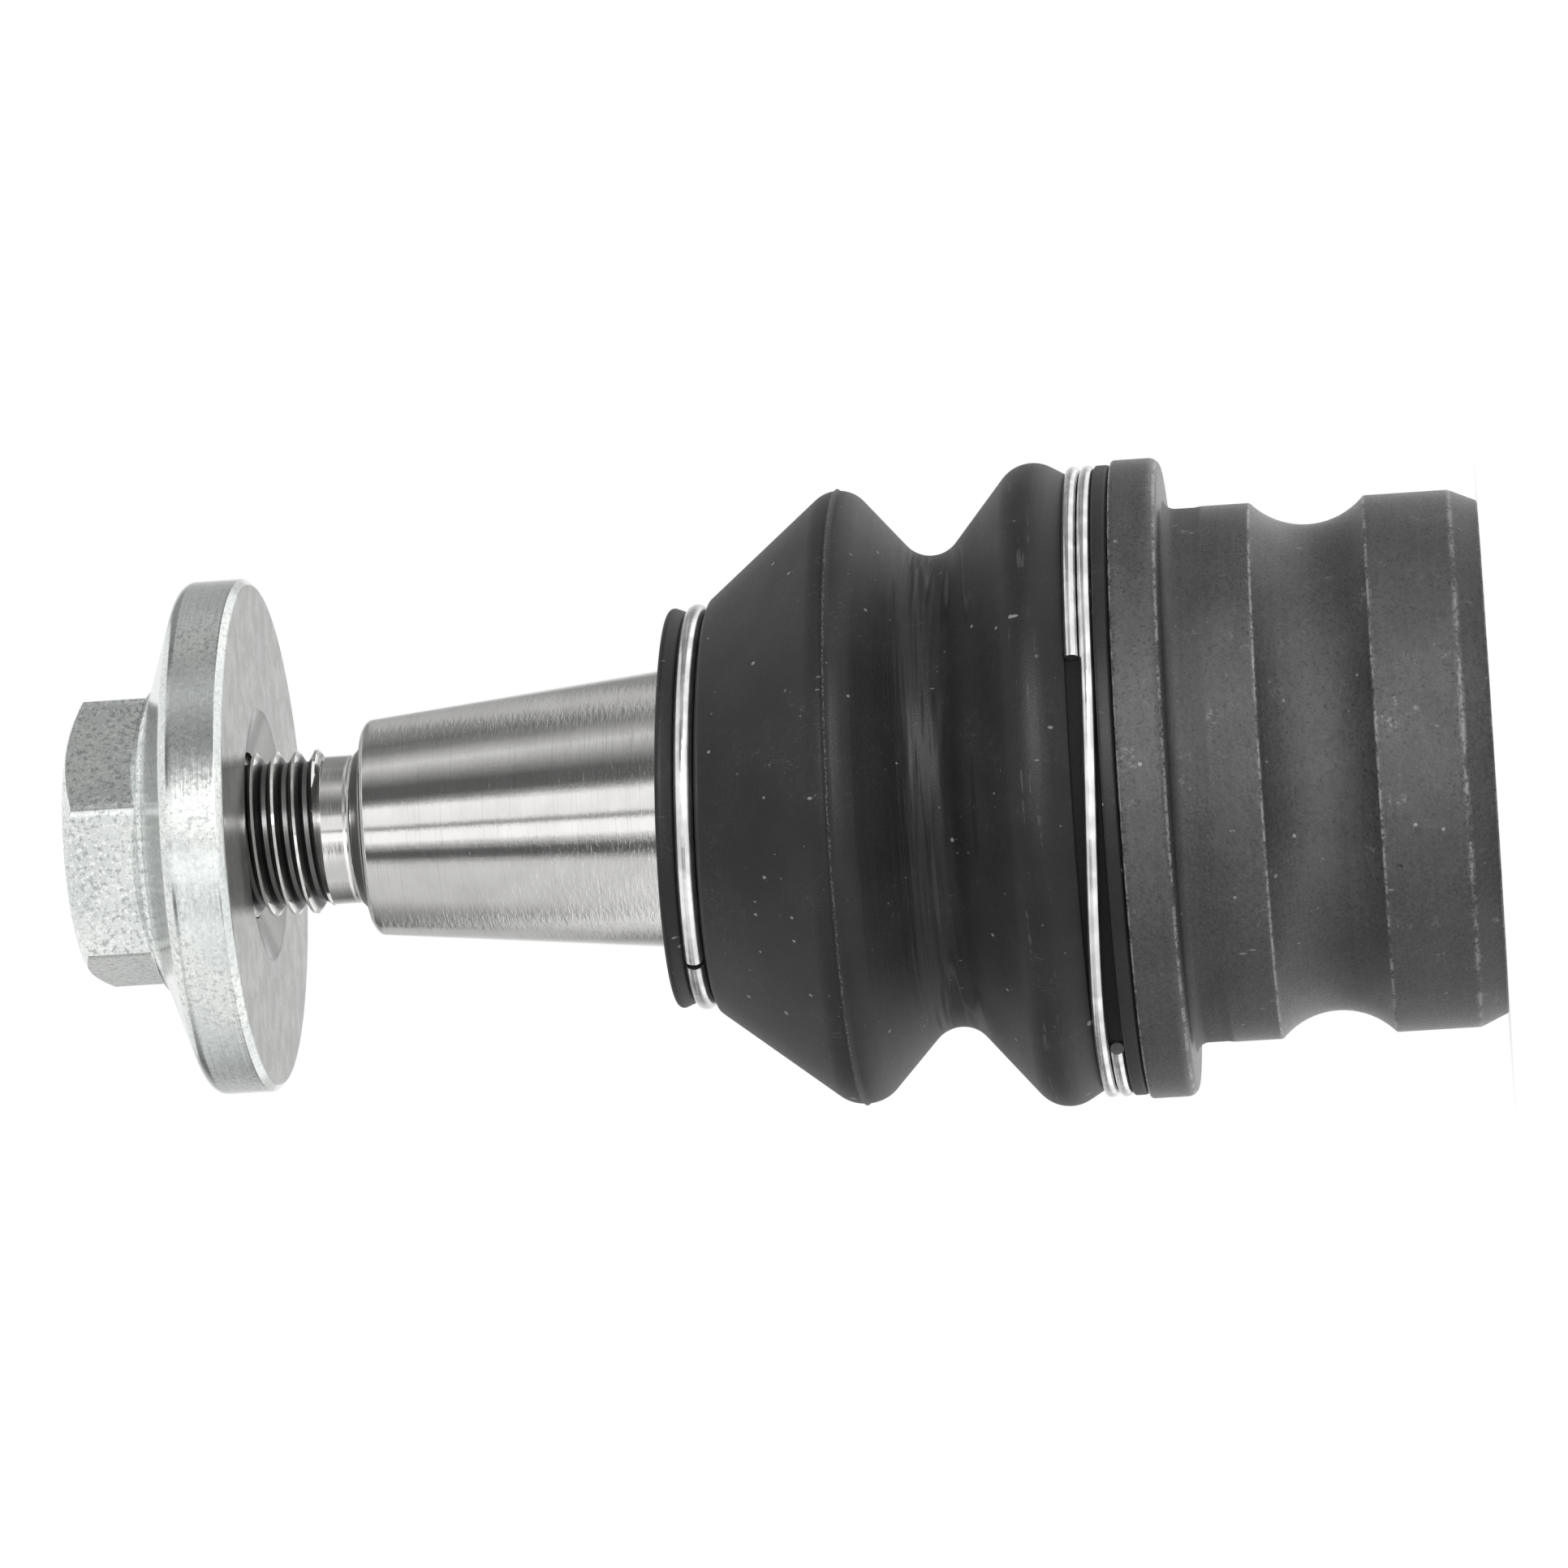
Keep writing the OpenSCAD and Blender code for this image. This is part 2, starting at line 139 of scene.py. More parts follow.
class Finish(Graph):
    """A material with one Principled shader."""

    def __init__(self, name):
        self.material = bpy.data.materials.new(name)
        super().__init__(self.material)
        self.shader = self.tree.nodes["Principled BSDF"]
        self.place = self.node("TexCoord", out="Object")

    def set(self, **values):
        """Values or links of the shader's sockets, by name with _ for a space."""
        self.fill(self.shader, {name.replace("_", " "): value for name, value in values.items()})

    def position(self, axis):
        """Place along X, Y or Z, in millimetres."""
        return self.node("SeparateXYZ", None, {0: self.place}, out=axis) * (1 / mm)

    def stretched(self, across, along, turn=(0, 0, 0)):
        """Object coordinates in cycles a millimetre, apart across and along the stud."""
        scale = (across / mm, across / mm, along / mm)
        return self.node("Mapping", None, {"Vector": self.place, "Scale": scale, "Rotation": turn})

    def noise(self, where, detail=2.0, rough=0.5):
        values = {"Vector": where, "Scale": 1.0, "Detail": detail, "Roughness": rough}
        return self.node("TexNoise", None, values)

    def mix(self, amount, first, second):
        values = {0: amount, 6: first, 7: second}
        return self.node("Mix", {"data_type": "RGBA"}, values, out=2)

    def radius(self):
        """Distance from the stud's axis, in millimetres."""
        values = {0: self.place, 1: (1 / mm, 1 / mm, 0)}
        flat = self.node("VectorMath", {"operation": "MULTIPLY"}, values)
        return self.node("VectorMath", {"operation": "LENGTH"}, {0: flat}, out="Value")

    def rings(self, fine, long, on_faces=0.83):
        """Noise drawn out round the axis, as a cutting tool or a grinding wheel leaves it. It is
        finer along the stud than on faces that look along it, by the factor on_faces."""
        tool_way = self.position("Z") + self.radius() * on_faces
        drawn = self.node("CombineXYZ", None, {"Z": tool_way * fine})
        values = {0: self.stretched(long, 0), 1: drawn}
        return self.noise(self.node("VectorMath", {"operation": "ADD"}, values), 3.0, 0.6)

    def cells(self, where):
        """Distance from the middle of each cell, and a chance value of the cell."""
        values = {"Vector": where, "Scale": 1.0}
        middle = self.node("TexVoronoi", None, values, out="Distance")
        return middle, self.node("TexVoronoi", None, values, out="Color")

    def specks(self, per_mm, size, rare=0.55):
        """1 in small scattered spots, about size of a cell wide."""
        middle, chance = self.cells(self.stretched(per_mm, per_mm))
        return 1 - (middle - (chance - rare) * 3 * size).between(-0.3 * size, 0.3 * size)

    def dashes(self, per_mm, turn, size, rare=0.66):
        """1 in short scattered strokes that run along the turned Z."""
        middle, chance = self.cells(self.stretched(per_mm, per_mm * 0.3, turn))
        return (1 - middle.between(size * 0.6, size)) * chance.maths("GREATER_THAN", rare)

    def bump(self, height, depth):
        """Relief of depth metres, wired to the shader."""
        values = {"Height": height, "Distance": depth, "Strength": 1.0}
        self.set(Normal=self.node("Bump", None, values))


def grey(level, red=1.0, blue=1.0):
    return (level * red, level, level * blue, 1)


def arc(centre_r, centre_z, radius, start, end, steps=12):
    """Points of an arc in the outline's plane, as (r, z, 0) corners, with its angles in degrees."""
    angles = [radians(start + (end - start) * i / steps) for i in range(steps + 1)]
    return [(centre_r + radius * cos(a), centre_z + radius * sin(a), 0) for a in angles]


def rounded(corners, steps=6, guard=0.25 * mm, rub=0.14 * mm, most=0.45):
    """Closed outline through (r, z, round) corners, as (r, z, edge) points. Each round becomes an
    arc, which takes at most that share of a wall, with a guard point to either side that keeps
    long walls flat. Edge is 1 in the middle of a convex arc and falls to 0 over the length rub."""
    points = []
    for i, (r, z, size) in enumerate(corners):
        if not size:
            points.append((r, z, 0.0))
            continue
        here = Vector((r, z))
        before = Vector(corners[i - 1][:2]) - here
        after = Vector(corners[(i + 1) % len(corners)][:2]) - here
        half = before.angle(after) / 2
        reach = min(size / tan(half), before.length * most, after.length * most)
        size = reach * tan(half)
        convex = before.cross(after) < 0
        ends = [(side.normalized(), side.length) for side in (before, after)]
        centre = here + (ends[0][0] + ends[1][0]).normalized() * (size / sin(half))
        first = here + ends[0][0] * reach - centre
        turn = first.angle_signed(here + ends[1][0] * reach - centre)
        guards = [[(*(here + way * (reach + guard)), 0.0)] if reach + guard < most * length else []
                  for way, length in ends]
        points += guards[0]
        for k in range(steps + 1):
            spot = centre + Matrix.Rotation(-turn * k / steps, 2) @ first
            off = abs(k / steps - 0.5) * abs(turn) * size
            points.append((*spot, max(0.0, 1 - off / rub) if convex else 0.0))
        points += guards[1]
    return points


def turned(points, steps=180, touching=1e-7):
    """bmesh of an outline of (r, z, edge) points, spun once about the stud's axis. The outline is
    closed, unless both its ends are on the axis or touch."""
    bm = bmesh.new()
    edge_layer = bm.verts.layers.float.new("edge")
    verts = []
    for r, z, edge in points:
        vert = bm.verts.new((r, 0, z))
        vert[edge_layer] = edge
        verts.append(vert)
    edges = [bm.edges.new((verts[i - 1], verts[i])) for i in range(1, len(verts))]
    first, last = points[0], points[-1]
    apart = hypot(first[0] - last[0], first[1] - last[1]) > touching
    if apart and max(first[0], last[0]) > touching:
        edges.append(bm.edges.new((verts[-1], verts[0])))
    bmesh.ops.spin(bm, geom=verts + edges, cent=(0, 0, 0), axis=(0, 0, 1), dvec=(0, 0, 0),
                   angle=2 * pi, steps=steps, use_merge=True, use_normal_flip=False,
                   use_duplicate=False)
    bmesh.ops.remove_doubles(bm, verts=bm.verts, dist=touching)
    bmesh.ops.recalc_face_normals(bm, faces=bm.faces)
    return bm


def piece(name, bm, finish, body, sharp=32):
    """Scene object of a finished bmesh, smooth but for edges sharper than so many degrees."""
    mesh = bpy.data.meshes.new(name)
    bm.to_mesh(mesh)
    bm.free()
    mesh.materials.append(finish.material)
    mesh.polygons.foreach_set("use_smooth", [True] * len(mesh.polygons))
    mesh.set_sharp_from_angle(angle=radians(sharp))
    made = bpy.data.objects.new(name, mesh)
    bpy.context.collection.objects.link(made)
    if body:
        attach(made, body)
    return made


mounts = {mount["name"]: mount for mount in frame["record"]["mounts"]}
(_, _, end_z), (flange_r, _, spigot_top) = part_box("housing")
shank_r = mounts["clamp_shank"]["dims"]["r_mm"] * mm
flange_z = mounts["flange_shoulder"]["pos_m"][2]
flange_t = 3.5 * mm
flange_top = flange_z + flange_t
groove_z = mounts["pinch_groove"]["pos_m"][2]
groove_r = 5.5 * mm
groove_mid = -mounts["pinch_groove"]["pos_m"][1]
spigot_r = 19.8 * mm
bead_low = spigot_top - 2.1 * mm
bead_high = spigot_top - 1.2 * mm
boot_seat_r = 18.9 * mm
mouth_r = 13.3 * mm
throat_r = 11.1 * mm
throat_z = 7.2 * mm
bore_r = 14.5 * mm
bore_top = 3.4 * mm
cover_r = 16 * mm
lip_t = 1.2 * mm
cover_t = 2 * mm
cover_low = end_z + lip_t
cover_high = cover_low + cover_t
lip_r = 15 * mm
end_chamfer_w = 0.9 * mm
end_chamfer_h = 2 * mm
undercut = 0.07 * mm
undercut_low = flange_z - 2.8 * mm
undercut_high = flange_z - 2.3 * mm

black_steel = Finish("black_coated_steel")
grain = black_steel.noise(black_steel.stretched(4, 4), 5.0, 0.75)
clouds = black_steel.noise(black_steel.stretched(0.13, 0.13), 4.0, 0.6)
tool_marks = black_steel.rings(2.2, 0.05)
rubbed = black_steel.node("Attribute", {"attribute_name": "edge"}, None, out="Fac")
scuffs = black_steel.noise(black_steel.stretched(0.5, 0.5), 6.0, 0.75)
worn = rubbed.between(0.0, 0.7) * (scuffs * 0.7 + grain * 0.3).between(0.44, 0.55)
chips = scuffs.between(0.6, 0.68) * clouds.between(0.46, 0.6) * grain.between(0.4, 0.6)
pits = black_steel.specks(0.3, 0.09)
dust = black_steel.specks(0.7, 0.1) + black_steel.dashes(0.9, (0.5, 0.2, 1.1), 0.09) * 0.7
tone = clouds * 0.35 + grain * 0.65 + tool_marks * 0.15
coat = black_steel.mix(tone.between(0.42, 0.74), grey(0.006), grey(0.055))
coat = black_steel.mix(worn * 0.75, coat, grey(0.3))
coat = black_steel.mix(chips * 0.6, coat, grey(0.22))
coat = black_steel.mix(dust.maths("MINIMUM", 1.0) * 0.7, coat, grey(0.35))
coat = black_steel.mix(pits * 0.9, coat, grey(0.002))
steel_height = black_steel.position("Z")
hollow = steel_height.between(undercut_low / mm - 0.1, undercut_low / mm + 0.2)
hollow = hollow * (1 - steel_height.between(flange_z / mm - 0.1, flange_z / mm))
black_steel.set(
    Base_Color=coat,
    Metallic=0.35,
    Roughness=0.2 + grain * 0.17 - worn * 0.06 + hollow * 0.2,
    Specular_IOR_Level=1.0,
)
black_steel.bump(grain * 1.6 + tool_marks * 0.3 + dust * 0.4 - pits * 3, 0.05 * mm)

groove_half = sqrt(groove_r ** 2 - (groove_mid - shank_r) ** 2)
arc_share = 0.93
groove_turn = degrees(asin(groove_half / groove_r)) * arc_share
outline = (
    [(lip_r, end_z, 0.3 * mm), (shank_r - end_chamfer_w, end_z, 0.25 * mm)]
    + [(shank_r, end_z + end_chamfer_h, 0.35 * mm)]
    + [(shank_r, groove_z - groove_half, 0.3 * mm)]
    + arc(groove_mid, groove_z, groove_r, 180 + groove_turn, 180 - groove_turn, 18)
    + [(shank_r, groove_z + groove_half, 0.3 * mm)]
    + [(shank_r, undercut_low, 0), (shank_r - undercut, undercut_high, 0)]
    + [(shank_r - undercut, flange_z, 0.9 * mm)]
    + [(flange_r, flange_z, 0.8 * mm), (flange_r, flange_top, 0.3 * mm)]
    + [(boot_seat_r, flange_top, 0), (boot_seat_r, bead_low, 0)]
    + [(spigot_r, bead_high, 0.2 * mm), (spigot_r, spigot_top, 0.3 * mm)]
    + [(mouth_r, spigot_top, 0.3 * mm), (throat_r, throat_z, 0), (bore_r, bore_top, 0)]
    + [(bore_r, cover_high, 0), (cover_r, cover_high, 0)]
    + [(cover_r, cover_low, 0), (lip_r, cover_low, 0)]
)
housing = piece("housing_body", turned(rounded(outline)), black_steel, "housing")
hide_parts("housing")


# Moulded black rubber, in one piece on the real joint and in two here, which meet in the valley:
# the large fold rises from the housing, the small one runs up to the stud.
boot_clear = 0.05 * mm
boot_wall = 1.8 * mm
boot_big_wall = 2.8 * mm
boot_big_lip = 1.1 * mm
boot_big_r = spigot_r + boot_clear + boot_big_wall
boot_lip_z = flange_top + boot_clear
wire_r = 0.5 * mm
wire_gap = 0.04 * mm
big_groove_low = boot_lip_z + boot_big_lip
big_groove_high = big_groove_low + 4 * wire_r + 3 * wire_gap
big_floor = boot_big_r - 2 * wire_r
fold_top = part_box("dust_boot")[1][0]
taper_rate = 0.2075
taper_top = mounts["stud_taper"]["pos_m"][2]
taper_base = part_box("dust_boot")[1][2]
taper_small_r = 7.8 * mm
seal_r = taper_small_r + taper_rate * (taper_top - taper_base) / 2
boot_small_wall = 3.85 * mm
boot_small_r = seal_r + boot_clear + boot_small_wall
boot_small_lip = 1.25 * mm
boot_shoulder = 0.8 * mm
small_wire_r = 0.725 * mm
small_groove_depth = 0.95 * mm
small_floor = boot_small_r - small_groove_depth
small_groove_high = taper_base - boot_small_lip
small_groove_low = small_groove_high - 2 * small_wire_r - 2 * wire_gap
grip_len = 5 * mm
grip_wall = 3 * mm
grip_z = taper_base - grip_len
grip_r = seal_r + boot_clear
big_fold_rise, valley_rise, small_fold_rise = 5.7 * mm, 13.25 * mm, 19.75 * mm
big_round, valley_round, small_round = 2.7 * mm, 2.4 * mm, 2.3 * mm
valley_depth = 6.15 * mm
small_drop = 1.05 * mm

# Beads that the wall passes round: height, radius of the middle, and rounding
big_fold = (flange_top + big_fold_rise, fold_top - big_round, big_round)
valley = (flange_top + valley_rise, fold_top - valley_depth + valley_round, -valley_round)
small_fold = (flange_top + small_fold_rise, fold_top - small_drop - small_round, small_round)


def wall_slope(start, end):
    """Slope of the straight wall that runs tangent from one (z, r, round) bead to the next."""
    along, up = end[0] - start[0], end[1] - start[1]
    return atan2(up, along) - asin((start[2] - end[2]) / hypot(along, up))


def fold(before, bead, after, steps=20):
    """Arc of one bead between the walls to its neighbours, as (r, z, 0) points."""
    first, last = wall_slope(before, bead), wall_slope(bead, after)
    slopes = [first + (last - first) * k / steps for k in range(steps + 1)]
    return [(bead[1] + bead[2] * cos(a), bead[0] - bead[2] * sin(a), 0) for a in slopes]


def inner(bead):
    return (bead[0], bead[1], bead[2] - boot_wall)


def halves(points, seam_z, beside=0.05 * mm):
    """Splits an outline that rises in z where it crosses seam_z, with a point beside each cut."""
    low = [p for p in points if p[1] < seam_z - beside * 1.2]
    high = [p for p in points if p[1] > seam_z + beside * 1.2]
    r = min(p[0] for p in points)
    return (low + [(r, seam_z - beside, 0), (r, seam_z, 0)],
            [(r, seam_z, 0), (r, seam_z + beside, 0)] + high)


fold_start = (big_groove_high, boot_big_r - 0.5 * mm, 0)
fold_end = (small_groove_low - 0.3 * mm, boot_small_r + boot_shoulder, 0)
askew = tan(radians(2.2))


def set_askew(bm):
    """Slides what lies above the valley along the stud, most at the lower side of the picture, as
    the boot sits on the stud a little askew."""
    for vert in bm.verts:
        share = min(1, max(0, (vert.co.z - valley[0]) / (small_groove_low - valley[0])))
        vert.co.z += (fold_top - vert.co.x) * askew * share * share * (3 - 2 * share)
    return bm


inner_start = (spigot_top + boot_clear, spigot_r + boot_clear, 0)
inner_end = (grip_z, grip_r + grip_wall, 0)
low_outer, high_outer = halves(fold(big_fold, valley, small_fold), valley[0])
low_inner, high_inner = halves(fold(inner(big_fold), inner(valley), inner(small_fold)), valley[0])

rubber = Finish("moulded_rubber")
skin = rubber.noise(rubber.stretched(6, 6), 4.0, 0.65)
bloom = rubber.noise(rubber.stretched(0.16, 0.1), 4.0, 0.6)
creases = rubber.rings(0.34, 0.03)
hairs = rubber.noise(rubber.stretched(1.1, 0.22, (0.3, 0.5, 0.9)), 2.0)
scratch = (1 - (hairs - 0.5).maths("ABSOLUTE").between(0.0, 0.006)) * bloom.between(0.5, 0.62)
lint = rubber.specks(0.42, 0.1) + rubber.specks(0.95, 0.08) * 0.5
lint = lint + rubber.dashes(0.7, (0.9, 0.3, 0.4), 0.1)
lint = lint + rubber.dashes(1.1, (0.2, 1.3, 0.7), 0.08) * 0.6
lint = lint.maths("MINIMUM", 1.0)
height = rubber.position("Z")
across = rubber.position("X")
ragged = rubber.noise(rubber.stretched(0.7, 0.7), 3.0, 0.7)
lean = (fold_top / mm - across) * askew * 0.36
parting = height - small_fold[0] / mm - lean + ragged * 0.24 - 0.12
seam = (1 - (parting - 0.06).maths("ABSOLUTE").between(0.03, 0.13)) * skin.between(0.47, 0.6)
slit = 1 - (parting - 0.26).maths("ABSOLUTE").between(0.05, 0.14)
low_folds = 1 - (height - valley[0] / mm + 0.6).maths("ABSOLUTE").between(1.0, 3.6)
# Painted shade and painted highlight: near the valley, long crease lines are painted dark, each with
# a lighter line beside it, for how the creases take light and shade
folded = 1 - (height - valley[0] / mm + 1.5).maths("ABSOLUTE").between(1.0, 2.6)
long_folds = rubber.noise(rubber.stretched(0.03, 0.5), 1.5)
crease_painted_shade = (1 - (long_folds - 0.5).maths("ABSOLUTE").between(0.0, 0.016)) * folded
crease_painted_highlight = (1 - (long_folds - 0.524).maths("ABSOLUTE").between(0.0, 0.016)) * folded
crest = 1 - (height - big_fold[0] / mm - 0.5).maths("ABSOLUTE").between(0.3, 1.4)
chafed = rubber.rings(4, 0.22).between(0.58, 0.66) * crest * hairs.between(0.42, 0.56)
# Painted shade: the floor of the large groove beside the wire is painted near black and made
# rougher, as the shadow in the deep groove
groove_floor_shade = height.between(big_groove_low / mm, big_groove_low / mm + 0.05)
groove_floor_shade = groove_floor_shade * (1 - height.between(big_groove_high / mm - 0.05, big_groove_high / mm))
groove_floor_shade = groove_floor_shade * (1 - rubber.radius().between(big_floor / mm + 0.1, big_floor / mm + 0.6))
patchy = (bloom * 0.6 + skin * 0.4).between(0.3, 0.75)
black = rubber.mix(patchy, grey(0.004, 0.97, 1.0), grey(0.018, 0.97, 1.0))
# Painted highlight beside the creases, then painted shade in them
black = rubber.mix(crease_painted_highlight * 0.6, black, grey(0.05))
black = rubber.mix(crease_painted_shade * 0.9, black, grey(0.001))
black = rubber.mix(chafed * 0.5, black, grey(0.1))
black = rubber.mix(scratch * 0.4, black, grey(0.12))
black = rubber.mix(seam * 0.6, black, grey(0.17))
black = rubber.mix(slit * 0.7, black, grey(0.002))
black = rubber.mix(lint * 0.75, black, grey(0.28))
# Painted shade on the large groove's floor
black = rubber.mix(groove_floor_shade, black, grey(0.001))
rubber.set(
    Base_Color=black,
    Roughness=0.36 + skin * 0.24 + groove_floor_shade * 0.3,
    Sheen_Weight=0.05,
    Specular_IOR_Level=0.3,
)
rubber.bump(skin * 0.9 + lint * 0.6 + creases * low_folds * 30 + creases * 4, 0.03 * mm)

lip_round = 0.3 * mm
lower_outline = rounded(
    [(boot_big_r, boot_lip_z, lip_round), (boot_big_r, big_groove_low, 0.2 * mm)]
    + [(big_floor, big_groove_low, 0.2 * mm), (big_floor, big_groove_high, 0.2 * mm)]
    + [(fold_start[1], fold_start[0], 0)] + fold(fold_start, big_fold, valley) + low_outer
    + low_inner[::-1] + fold(inner_start, inner(big_fold), inner(valley))[::-1]
    + [(inner_start[1], inner_start[0], 0), (spigot_r + boot_clear, spigot_top - 1.25 * mm, 0)]
    + [(boot_seat_r + boot_clear, spigot_top - 2.15 * mm, 0)]
    + [(boot_seat_r + boot_clear, boot_lip_z, 0)]
)
boot_lower = piece("boot_large_fold", turned(lower_outline), rubber, None, 40)
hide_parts("dust_boot")
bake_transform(boot_lower)

flare_r = boot_small_r + 0.5 * mm
mouth_face = 1.6 * mm
mouth_chamfer = 0.6 * mm
nib, nib_w = 0.14 * mm, 0.13 * mm
small_arc = [(r + (nib if abs(z - small_fold[0]) < nib_w else 0), z, edge)
             for r, z, edge in fold(valley, small_fold, fold_end)]
upper_outline = rounded(
    high_outer + small_arc
    + [(fold_end[1], fold_end[0], 0.5 * mm), (boot_small_r, small_groove_low, 0.25 * mm)]
    + [(small_floor, small_groove_low, 0.3 * mm), (small_floor, small_groove_high, 0.3 * mm)]
    + [(boot_small_r, small_groove_high, 0.3 * mm), (flare_r, taper_base, 0.35 * mm)]
    + [(flare_r - mouth_face, taper_base, 0.3 * mm)]
    + [(grip_r + mouth_chamfer, taper_base - mouth_chamfer, 0.3 * mm)]
    + [(grip_r, taper_base - 1.2 * mm, 0), (grip_r, grip_z, 0), (inner_end[1], inner_end[0], 0)]
    + fold(inner(valley), inner(small_fold), inner_end)[::-1] + high_inner[::-1]
)
upper_bm = set_askew(turned(upper_outline))
boot_upper = piece("boot_small_fold", upper_bm, rubber, None, 40)
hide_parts("dust_boot")
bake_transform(boot_upper)


# Bright drawn spring wire, wound nearly twice into the boot's large groove. Its ends are cut and
# free, and between them the wire runs single and crosses from one lane to the other.
wire = Finish("bright_wire")
drawn = wire.noise(wire.stretched(0.4, 9), 3.0, 0.6)
tarnish = wire.noise(wire.stretched(0.5, 0.5), 2.0)
wire.set(
    Base_Color=wire.mix(tarnish.between(0.35, 0.7), grey(0.62), grey(0.86)),
    Metallic=1.0,
    Roughness=0.16 + drawn * 0.14,
)
wire.bump(drawn, 0.004 * mm)


def wound(radius, section_r, start, turn, heights, step=3.0):
    """bmesh of a round wire wound about the stud from angle start, through turn degrees, with
    heights(t) its height at the share t of the way, and both ends cut square and capped."""
    bm = bmesh.new()
    placed = (Matrix.Rotation(radians(start), 4, "Z") @ Matrix.Translation((radius, 0, heights(0)))
              @ Matrix.Rotation(pi / 2, 4, "X"))
    bmesh.ops.create_circle(bm, cap_ends=True, segments=14, radius=section_r, matrix=placed)
    front = bm.faces[:]
    steps = round(turn / step)
    for k in range(steps):
        rise = heights((k + 1) / steps) - heights(k / steps)
        moved = bmesh.ops.extrude_face_region(bm, geom=front, use_keep_orig=(k == 0))["geom"]
        front = [part for part in moved if isinstance(part, bmesh.types.BMFace)]
        verts = [part for part in moved if isinstance(part, bmesh.types.BMVert)]
        spun = Matrix.Rotation(radians(turn / steps), 3, "Z")
        bmesh.ops.rotate(bm, cent=(0, 0, 0), matrix=spun, verts=verts)
        bmesh.ops.translate(bm, vec=(0, 0, rise), verts=verts)
    bmesh.ops.recalc_face_normals(bm, faces=bm.faces)
    return bm


ring_start = -67
ring_open = 81
ring_turn = 720 - ring_open
lane_high = big_groove_high - wire_gap - wire_r
lane_low = big_groove_low + wire_gap + wire_r


def lane(t):
    """Height of the wire: the upper lane, then a smooth crossing, then the lower one."""
    crossing = min(1, max(0, (t * ring_turn - (360 - ring_open)) / ring_open))
    return lane_high + (lane_low - lane_high) * crossing ** 2 * (3 - 2 * crossing)


ring_path = big_floor + wire_gap + wire_r
ring_bm = wound(ring_path, wire_r, ring_start, ring_turn, lane)
large_ring = piece("large_wire_ring", ring_bm, wire, "housing", 50)
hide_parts("boot_ring_large")


# Heavier wire of the same bright steel, wound once into the groove of the boot's small end, with
# its two cut ends almost meeting. It sits askew with the boot and moves with the collar.
small_path = small_floor + wire_gap + small_wire_r
small_end_gap = 0.5 * mm
small_gap = degrees(small_end_gap / small_path)
small_mid = (small_groove_low + small_groove_high) / 2
small_start = 220
small_bm = wound(small_path, small_wire_r, small_start, 360 - small_gap, lambda t: small_mid)
small_ring = piece("small_wire_ring", set_askew(small_bm), wire, "collar", 50)
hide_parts("boot_ring_small")


# Forged alloy steel in one piece: the ball, a polished neck, the ground taper that draws into
# the knuckle, the relief and a rolled thread. The thread is a real helix on the outline's end.
(_, _, ball_low), (_, _, stud_top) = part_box("ball_stud")
ball_r = 12 * mm
neck_r = 6.25 * mm
neck_top = 22 * mm
shoulder_top = 33.5 * mm
cone_guard = 0.1 * mm
relief_r = 5.4 * mm
relief_fillet_w, relief_fillet_h = 0.9 * mm, 0.95 * mm
thread_base = taper_top + 3 * mm
thread_r = 5.96 * mm
root_r = 5.12 * mm
pitch = 1.5 * mm
crest_w = 0.2 * mm
flank_w = 0.49 * mm
thread_chamfer = 0.9 * mm

ground_steel = Finish("ground_steel")
lines = ground_steel.rings(9, 0.16)
fine_lines = ground_steel.rings(24, 0.5)
ragged_lines = ground_steel.rings(4, 1.1)
patches = ground_steel.noise(ground_steel.stretched(0.35, 0.5), 3.0)
stud_height = ground_steel.position("Z")
stud_radius = ground_steel.radius()
threaded = stud_height.between(taper_top / mm + 0.8, taper_top / mm + 1.1)
# Painted shade: the thread's flanks and roots are painted near black and made rougher, the root
# floor a little less dark
thread_root_shade = threaded * (1 - stud_radius.between(root_r / mm + 0.3, thread_r / mm - 0.04))
thread_root_shade = thread_root_shade * stud_height.between(thread_base / mm, thread_base / mm + 0.4)
thread_root_shade = thread_root_shade * (1 - stud_height.between(stud_top / mm - 0.06, stud_top / mm - 0.02))
thread_root_shade = thread_root_shade * (0.85 + stud_radius.between(root_r / mm + 0.02, root_r / mm + 0.06) * 0.15)
dull, clean = grey(0.66, 1.01, 0.985), grey(0.73, 1.01, 0.985)
steel = ground_steel.mix(patches.between(0.25, 0.75), dull, clean)
steel = ground_steel.mix(lines.between(0.56, 0.72) * (1 - threaded) * 0.2, steel, grey(0.3))
# Painted shade in the thread's roots
steel = ground_steel.mix(thread_root_shade * 0.95, steel, grey(0.02))
# Painted shade: the fillet and relief between taper and thread are painted dark and made rougher
fillet_shade = stud_height.between(taper_top / mm - 0.12, taper_top / mm)
fillet_shade = fillet_shade * (1 - stud_height.between(taper_top / mm + 0.75, taper_top / mm + 0.95))
steel = ground_steel.mix(fillet_shade * 0.85, steel, grey(0.08))
ground_steel.set(
    Base_Color=steel,
    Metallic=1.0,
    Roughness=0.06 + lines * 0.06 - threaded * 0.02 + (thread_root_shade + fillet_shade) * 0.3,
)
scored = lines * 0.5 + fine_lines * 0.4 + ragged_lines * 2.2
ground_steel.bump(scored * (1 - threaded * 0.9), 0.0035 * mm)

